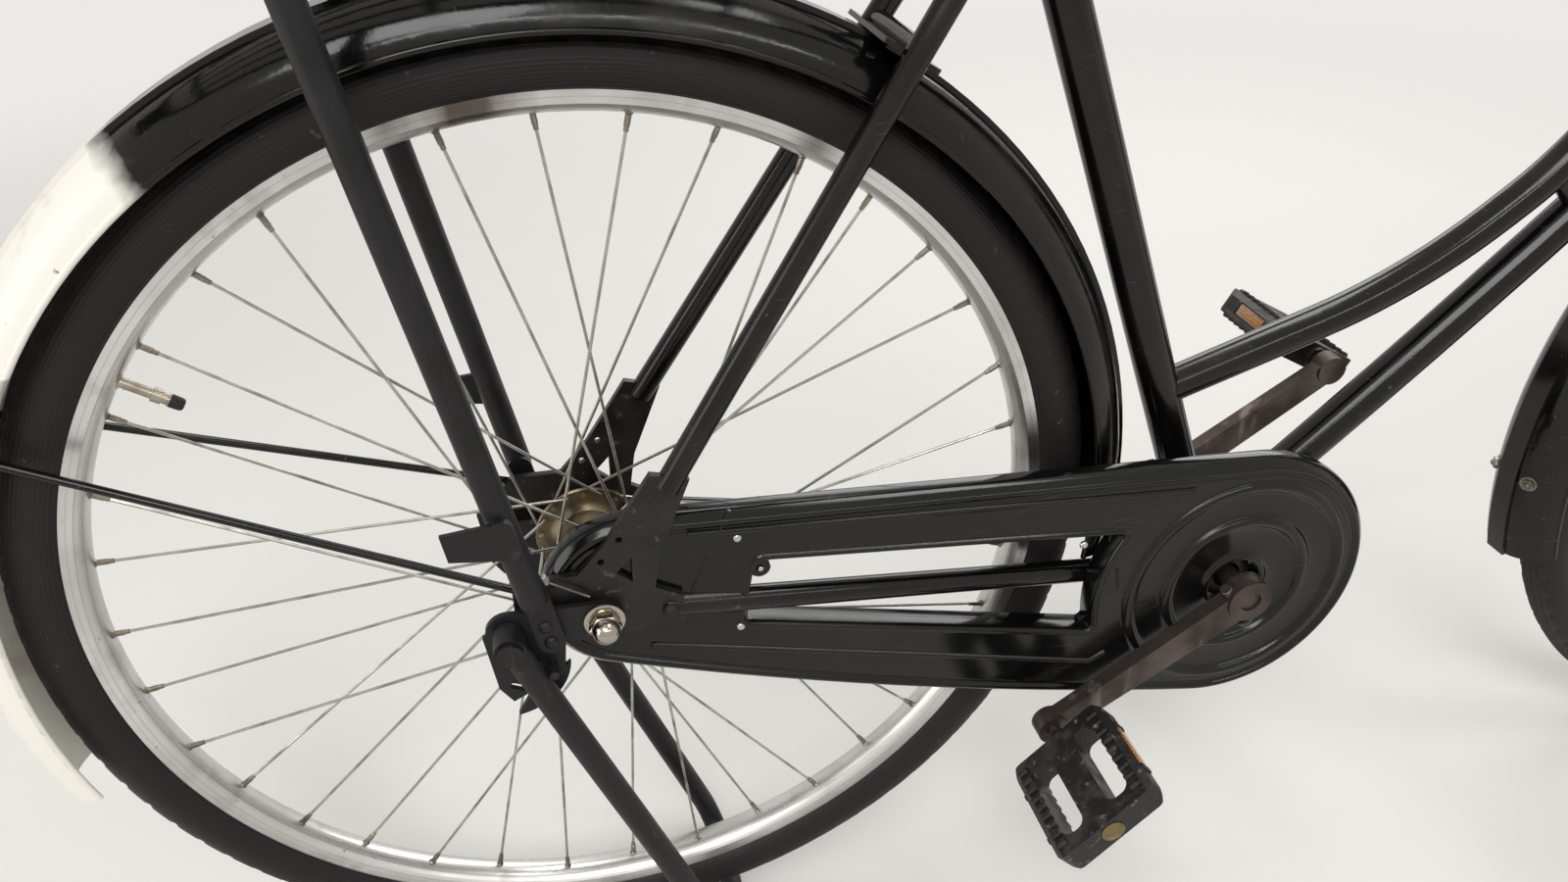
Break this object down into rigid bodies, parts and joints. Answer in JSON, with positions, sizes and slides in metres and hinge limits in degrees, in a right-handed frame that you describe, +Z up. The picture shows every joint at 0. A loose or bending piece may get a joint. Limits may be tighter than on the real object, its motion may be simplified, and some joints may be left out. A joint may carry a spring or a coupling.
{
  "type": "city bicycle",
  "caption": "Lady's roadster bicycle with a loop frame, closed chain case, mudguards, rear carrier and a two-legged rear stand that is down.",
  "frame": {"origin": "under the middle of the bounding box, on the ground the front tyre and the stand rest on", "axes": "+X forward, +Y to the left, +Z up"},
  "size_m": [1.8523, 0.603, 1.0793],
  "materials": {
    "enamel": "worn gloss black stove enamel",
    "matt_steel": "dull worn black paint",
    "tyre": "dusty black rubber",
    "rim": "satin, lightly corroded",
    "hub": "grimy zinc-plated steel",
    "zinc": "zinc-plated",
    "chrome": "bright, slightly pitted",
    "case": "moulded black plastic, semi-gloss",
    "crank": "tarnished dark steel",
    "pedal": "scuffed black moulded plastic",
    "grip": "moulded black rubber",
    "saddle": "worn black covering",
    "reflector": "clear red moulding",
    "lamp": "black lamp housing"
  },
  "bodies": {
    "frame": {"axle_plates": "matt_steel", "bracket_shell": "enamel", "brake_arm": "zinc", "carrier_legs": "matt_steel", "carrier_rack": "matt_steel", "chain_case": "case", "chain_stay_left": "enamel", "chain_stay_right": "enamel", "down_tube": "enamel", "dropout_left": "enamel", "dropout_right": "enamel", "head_tube": "enamel", "rear_axle": "zinc", "rear_mudguard": "enamel", "rear_mudguard_stays": "enamel", "rear_reflector": "reflector", "saddle": "saddle", "saddle_underframe": "matt_steel", "seat_post": "zinc", "seat_stay_left": "enamel", "seat_stay_right": "enamel", "seat_tube": "enamel", "stay_bridge": "enamel", "top_tube": "enamel", "tube_bridge": "enamel"},
    "rear_wheel": {"rear_tyre": "tyre", "rear_rim": "rim", "rear_hub": "hub"},
    "front_wheel": {"front_tyre": "tyre", "front_rim": "rim", "front_hub": "hub"},
    "steering": {"fork": "enamel", "headset_nut": "chrome", "front_axle": "zinc", "front_mudguard": "enamel", "front_mudguard_stays": "enamel", "stem": "chrome", "handlebar": "chrome", "grips": "grip", "bell": "chrome", "headlight": "lamp"},
    "crankset": {"crank_axle": "crank", "crank_right": "crank", "crank_left": "crank"},
    "pedal_right": {"pedal_right": "pedal"},
    "pedal_left": {"pedal_left": "pedal"},
    "stand": {"stand": "matt_steel"}
  },
  "joints": [
    {"name": "rear_wheel_spin", "type": "hinge", "parent": "frame", "child": "rear_wheel", "pos_m": [-0.54038, 0, 0.381], "axis": [0, 1, 0], "continuous": true},
    {"name": "steering_turn", "type": "hinge", "parent": "frame", "child": "steering", "pos_m": [0.36771, 0, 0.70692], "axis": [-0.3495, 0, 0.9369], "range_deg": [-70, 70]},
    {"name": "front_wheel_spin", "type": "hinge", "parent": "steering", "child": "front_wheel", "pos_m": [0.57521, 0, 0.351], "axis": [0, 1, 0], "continuous": true},
    {"name": "crank_spin", "type": "hinge", "parent": "frame", "child": "crankset", "pos_m": [-0.08116, 0, 0.30863], "axis": [0, 1, 0], "continuous": true},
    {"name": "pedal_right_spin", "type": "hinge", "parent": "crankset", "child": "pedal_right", "pos_m": [-0.2238, -0.134, 0.21614], "axis": [0, 1, 0], "continuous": true},
    {"name": "pedal_left_spin", "type": "hinge", "parent": "crankset", "child": "pedal_left", "pos_m": [0.06148, 0.134, 0.40112], "axis": [0, 1, 0], "continuous": true},
    {"name": "stand_swing", "type": "hinge", "parent": "frame", "child": "stand", "pos_m": [-0.59936, 0, 0.38259], "axis": [0, 1, 0], "range_deg": [0, 189.61]}
  ]
}
